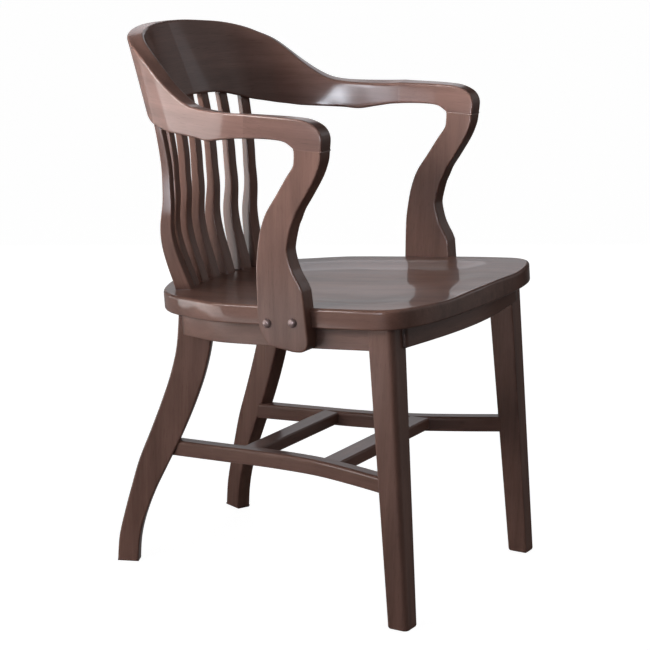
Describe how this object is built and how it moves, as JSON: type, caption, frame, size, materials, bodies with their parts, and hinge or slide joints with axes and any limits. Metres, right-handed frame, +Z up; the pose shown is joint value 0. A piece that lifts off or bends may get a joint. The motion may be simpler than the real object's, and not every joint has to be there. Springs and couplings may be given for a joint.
{
  "type": "captains chair",
  "caption": "Wooden captains chair with a dished seat, a bent back bow on curved slats, arms on scrolled posts, sabre rear legs and a low stretcher frame.",
  "frame": {"origin": "centre of the bounding box in plan, on the floor under the feet", "axes": "+Z up; the sitter faces -Y; +X is the sitter's left; the chair is symmetric about x = 0"},
  "size_m": [0.5032, 0.5814, 0.8079],
  "materials": {
    "walnut_seat": "satin lacquer",
    "walnut_frame": "satin lacquer",
    "walnut_bow": "satin lacquer",
    "raw_beech": "planed, unfinished",
    "bronzed_steel": "bronzed, satin"
  },
  "bodies": {
    "root": {"seat": "walnut_seat", "front_rail": "walnut_frame", "rear_rail": "walnut_frame", "rear_cross_stretcher": "walnut_frame", "front_cross_stretcher": "walnut_frame", "back_bow": "walnut_bow", "slat_1": "walnut_frame", "slat_2": "walnut_frame", "slat_3": "walnut_frame", "slat_4": "walnut_frame", "slat_5": "walnut_frame", "slat_6": "walnut_frame", "slat_7": "walnut_frame", "side_rail_left": "walnut_frame", "side_rail_right": "walnut_frame", "front_block_left": "raw_beech", "front_block_right": "raw_beech", "rear_block_left": "raw_beech", "rear_block_right": "raw_beech", "front_leg_left": "walnut_frame", "front_leg_right": "walnut_frame", "rear_leg_left": "walnut_frame", "rear_leg_right": "walnut_frame", "side_stretcher_left": "walnut_frame", "side_stretcher_right": "walnut_frame", "arm_left": "walnut_bow", "arm_right": "walnut_bow", "arm_post_left": "walnut_frame", "arm_post_right": "walnut_frame", "arm_dowel_lower_left": "raw_beech", "arm_dowel_lower_right": "raw_beech", "arm_dowel_upper_left": "raw_beech", "arm_dowel_upper_right": "raw_beech", "post_dowel_back_left": "raw_beech", "post_dowel_back_right": "raw_beech", "post_dowel_front_left": "raw_beech", "post_dowel_front_right": "raw_beech", "post_screw_back_left": "bronzed_steel", "post_screw_back_right": "bronzed_steel", "post_screw_front_left": "bronzed_steel", "post_screw_front_right": "bronzed_steel"}
  },
  "joints": []
}
